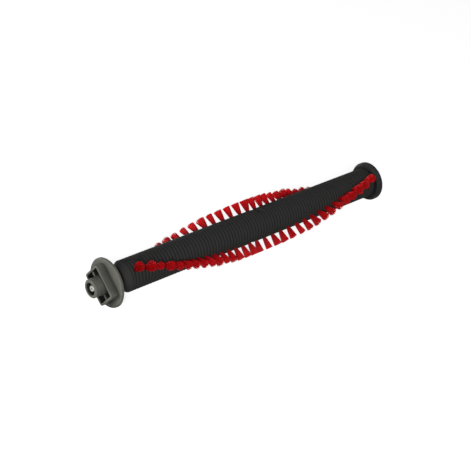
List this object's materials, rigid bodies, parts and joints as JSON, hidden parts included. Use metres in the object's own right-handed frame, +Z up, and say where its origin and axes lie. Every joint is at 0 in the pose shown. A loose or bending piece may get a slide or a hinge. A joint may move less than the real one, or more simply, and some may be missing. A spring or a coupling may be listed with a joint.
{
  "type": "vacuum agitator brush",
  "caption": "Ribbed black roller with two V-shaped rows of red nylon tufts, a steel axle, and a flanged bearing cap at each end; sweeps carpet in a vacuum cleaner's floor nozzle.",
  "frame": {"origin": "centre of the bounding box at floor level, under the middle of the roller", "axes": "+X along the roller from the keyed gray cap to the black cap, +Y to the back, +Z up"},
  "size_m": [0.3056, 0.0438, 0.0388],
  "materials": {
    "barrel_plastic": "moulded, fine ring ribs",
    "pulley_plastic": "moulded",
    "black_plastic": "moulded, satin",
    "gray_plastic": "moulded, satin",
    "steel": "ground",
    "bronze": "sintered",
    "felt": "pressed felt",
    "nylon": "natural",
    "spring_steel": "black phosphate",
    "bristle": "nylon filament",
    "staple_wire": "drawn wire"
  },
  "bodies": {
    "roller": {"barrel": "barrel_plastic", "belt_pulley": "pulley_plastic", "axle": "steel", "left_thrust_washer": "nylon", "right_thrust_washer": "nylon", "left_retaining_clip": "spring_steel", "right_retaining_clip": "spring_steel", "bristles_front_left": "bristle", "bristles_front_right": "bristle", "bristles_rear_left": "bristle", "bristles_rear_right": "bristle", "anchors_front_left": "staple_wire", "anchors_front_right": "staple_wire", "anchors_rear_left": "staple_wire", "anchors_rear_right": "staple_wire"},
    "left_cap": {"left_end_cap": "gray_plastic", "left_bush": "bronze", "left_felt_seal": "felt"},
    "right_cap": {"right_end_cap": "black_plastic", "right_bush": "bronze", "right_felt_seal": "felt"}
  },
  "joints": [
    {"name": "left_cap_turn", "type": "hinge", "parent": "roller", "child": "left_cap", "pos_m": [-0.1391, 0, 0.0194], "axis": [1, 0, 0], "continuous": true},
    {"name": "right_cap_turn", "type": "hinge", "parent": "roller", "child": "right_cap", "pos_m": [0.1391, 0, 0.0194], "axis": [1, 0, 0], "continuous": true}
  ]
}
